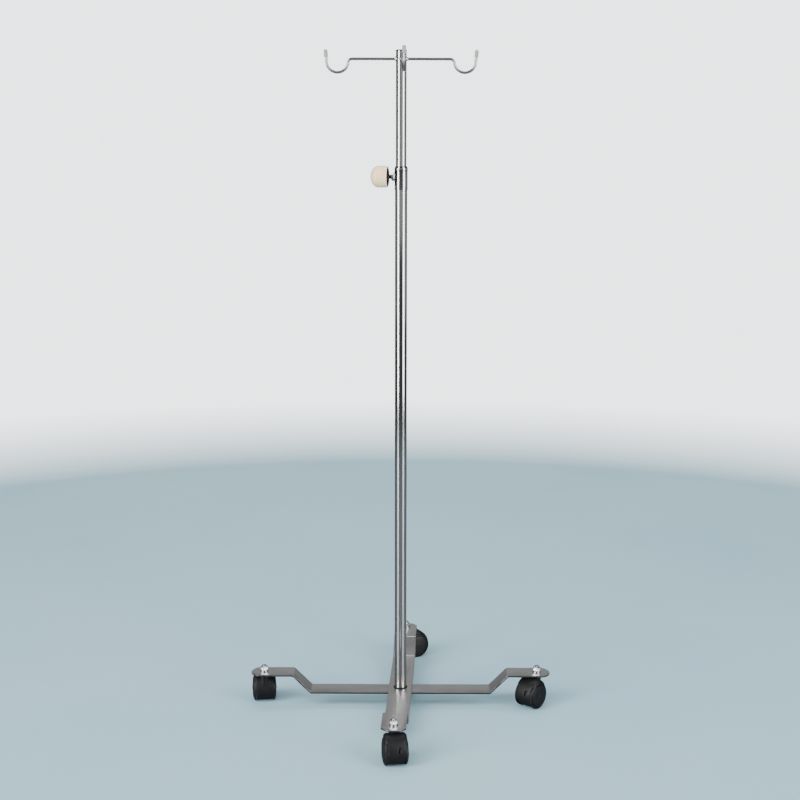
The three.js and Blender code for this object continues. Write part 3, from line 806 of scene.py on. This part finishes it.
# one wheel as (radius, distance from the caster's middle), its dome outwards
INNER_FACE, HUB_BORE = 15.95, 3.2
wheel = lathe(eased([
    (0, 23.3, 0), (2.8, 23.2, 0.5), (3.6, 22.7, 0.6), (10, 22.4, 4), (16, 21.9, 4), (20.4, 21.0, 0.7),
    (20.9, 18.6, 0.3), (22.0, 18.5, 0.3), (22.4, 20.2, 0.6), (24.3, 18.9, 1.2), (WHEEL_R, 17.0, 0.8),
    (WHEEL_R, INNER_FACE, 0.35), (21.5, INNER_FACE, 0.3), (20.6, 17.6, 0.5), (6.0, 17.9, 0.5),
    (5.5, INNER_FACE, 0.3), (HUB_BORE, INNER_FACE, 0.2), (HUB_BORE, 20.3, 0.2), (0, 20.4, 0),
], 5), 112)
base_hood = hood_mesh()


def split_washer(low, steps=72):
    """A split ring of square section whose ends stand a little apart."""
    gap, lift_all, corner = math.radians(8), 0.35, 0.2
    high = low + SPLIT_H
    verts = []
    for k in range(steps + 1):
        t = k / steps
        a = gap + t * (2 * math.pi - 2 * gap)
        lift = (t - 0.5) * lift_all
        low_z, high_z = low + 0.18 + lift, high - 0.18 + lift
        section = [(HOLE_R, low_z), (SPLIT_R - corner, low_z), (SPLIT_R, low_z + corner),
                   (SPLIT_R, high_z - corner), (SPLIT_R - corner, high_z), (HOLE_R, high_z)]
        verts.extend((r * math.cos(a), r * math.sin(a), z) for r, z in section)
    return np.array(verts), ring_faces(steps + 1, len(section))


FLANGE_R, FLANGE_H = 7.5, 1.6
stud = together(
    threaded(plate_under, plate_under + STUD_RISE, plain_to=plate_under + 0.2),
    lathe(eased([
        (0, BOSS_LOW + 1, 0), (M8_R, BOSS_LOW + 1, 0.6), (M8_R, plate_under - FLANGE_H, 0),
        (FLANGE_R, plate_under - FLANGE_H, 0.3), (FLANGE_R, plate_under, 0.3), (0, plate_under, 0),
    ]), 64),
)
washer_top = plate_top + WASHER_H
split_top = washer_top + SPLIT_H
flat = washer(plate_top)
split = split_washer(washer_top)
nut = hex_nut(split_top, split_top + NUT_HEIGHT, M8_BORE)
NUT_TURN = {"left": 0.58, "front": 0.46, "right": 0.5, "back": 0.6}
for side in SIDES:
    stem = joint_place(f"{side}_caster_swivel")
    axle = joint_place(f"{side}_wheel_a_spin")
    heading = math.atan2(stem[1] - axle[1], stem[0] - axle[0])
    seat = move(stem[0], stem[1], 0)
    running = move(axle[0], axle[1], 0) @ turn(heading)
    for name, shape, node, place, sharp in (
        ("stud", stud, "caster_stem", seat, 40),
        ("flat_washer", flat, "caster_washer", seat, 32),
        ("split_washer", split, "spring_washer", seat @ turn(NUT_TURN[side] * 5), 32),
        ("nut", nut, "caster_nut", seat @ turn(NUT_TURN[side]), 26),
    ):
        shaped(f"{side}_{name}", shape, "base", ZINC, [f"{side}_{node}"], place, sharp)

    hood = base_hood.copy()
    hood.name = f"{side}_hood"
    hood.transform(Matrix.Scale(MM, 4) @ running @ Matrix.Scale(1 / MM, 4))
    piece(f"{side}_hood", hood, f"{side}_caster", HOOD, [f"{side}_caster_hood"])
    for letter, flip, roll in (("a", 1, turn(0.2)), ("b", -1, turn(0))):
        upright = running @ move(0, 0, WHEEL_R) @ turn(-math.pi / 2 * flip, "X") @ roll
        shaped(f"{side}_disc_{letter}", wheel, f"{side}_wheel_{letter}", WHEEL,
               [f"{side}_wheel_{letter}"], upright)


# ------------------------------------------------------------------ carried-over nodes

CARRIED = {"pole_foot_plug": SATIN, "guide_bush": NYLON, "clamp_pad": BRASS}
CARRIED.update({f"{side}_caster_axle": ZINC for side in SIDES})
for node, material in CARRIED.items():
    data = nodes[node].data
    data.materials.clear()
    data.materials.append(material)


# ------------------------------------------------------------------ floor, light and camera

FLOOR_HALF = 9.0
floor_mesh = bpy.data.meshes.new("floor")
corners = [(-FLOOR_HALF, -FLOOR_HALF, 0), (FLOOR_HALF, -FLOOR_HALF, 0),
           (FLOOR_HALF, FLOOR_HALF, 0), (-FLOOR_HALF, FLOOR_HALF, 0)]
floor_mesh.from_pydata(corners, [], [(0, 1, 2, 3)])
floor = linked("floor", floor_mesh)
floor_mesh.materials.append(floor_finish())


def soft_box(name, place, target, size, power, colour=(1, 1, 1)):
    """A rectangle of light at place, facing target; the camera doesn't see it, bright metal does."""
    light = bpy.data.lights.new(name, "AREA")
    light.shape = "RECTANGLE"
    light.size, light.size_y = size
    light.energy, light.color = power, colour
    obj = linked(name, light)
    obj.location = place
    obj.rotation_euler = (Vector(target) - Vector(place)).to_track_quat("-Z", "Y").to_euler()
    obj.visible_camera = False


WARM, COOL = (1.0, 0.99, 0.97), (0.97, 0.99, 1.0)
soft_box("left_box", (-2.52, -1.97, 2.1), (0, 0, 2.1), (1.3, 4.1), 161, WARM)
soft_box("right_box", (2.52, -1.97, 2.1), (0, 0, 2.1), (1.6, 4.1), 139, COOL)
soft_box("back_box", (0, 3.2, 1.1), (0, 0, 0.3), (3.0, 1.7), 6)
soft_box("left_wall", (-3.9, 0.3, 1.8), (0, 0.3, 1.8), (3.4, 2.8), 4.5)
soft_box("right_wall", (3.9, 0.3, 1.8), (0, 0.3, 1.8), (3.4, 2.8), 8)
soft_box("ceiling", (0, 1.15, 3.3), (0, 1.15, 0), (2.4, 1.3), 28)
soft_box("rear_wall", (0, -4.6, 2.3), (0, 0, 2.3), (4.0, 2.6), 11)


def soft_sun(name, strength, spread, tilt):
    """Even light for floor and plastic that bright metal doesn't mirror."""
    obj = linked(name, bpy.data.lights.new(name, "SUN"))
    obj.data.energy, obj.data.angle = strength, math.radians(spread)
    obj.rotation_euler = [math.radians(a) for a in tilt]
    obj.visible_glossy = False


soft_sun("overhead", 0.85, 100, (-14, 4, 0))
soft_sun("front_fill", 3.0, 70, (62, 0, -25))

world = bpy.data.worlds.new("studio")
bpy.context.scene.world = world
world.use_nodes = True
tree = world.node_tree
tree.nodes.clear()
fill = tree.nodes.new("ShaderNodeBackground")
backdrop = tree.nodes.new("ShaderNodeBackground")
for background, colour, strength in (
    (fill, (0.30, 0.32, 0.34, 1), 0.2),
    (backdrop, (0.76, 0.80, 0.82, 1), 4.0),
):
    background.inputs["Color"].default_value = colour
    background.inputs["Strength"].default_value = strength
light_path = tree.nodes.new("ShaderNodeLightPath")
joined = tree.nodes.new("ShaderNodeMixShader")
world_out = tree.nodes.new("ShaderNodeOutputWorld")
tree.links.new(light_path.outputs["Is Camera Ray"], joined.inputs[0])
tree.links.new(fill.outputs[0], joined.inputs[1])
tree.links.new(backdrop.outputs[0], joined.inputs[2])
tree.links.new(joined.outputs[0], world_out.inputs[0])

# the camera as fitted to the photograph
LENS, SENSOR, CLIP_END = 66.222, 36, 100
CAMERA_PLACE = (0.01299, -2.6536, 1.0647)
PITCH, YAW, ROLL = math.radians(79.772), math.radians(0.313), math.radians(0.073)
camera = linked("camera", bpy.data.cameras.new("camera"))
camera.data.lens, camera.data.sensor_width = LENS, SENSOR
camera.data.clip_end = CLIP_END
camera.matrix_world = Matrix.Translation(CAMERA_PLACE) @ turn(YAW) @ turn(PITCH, "X") @ turn(ROLL)
bpy.context.scene.camera = camera
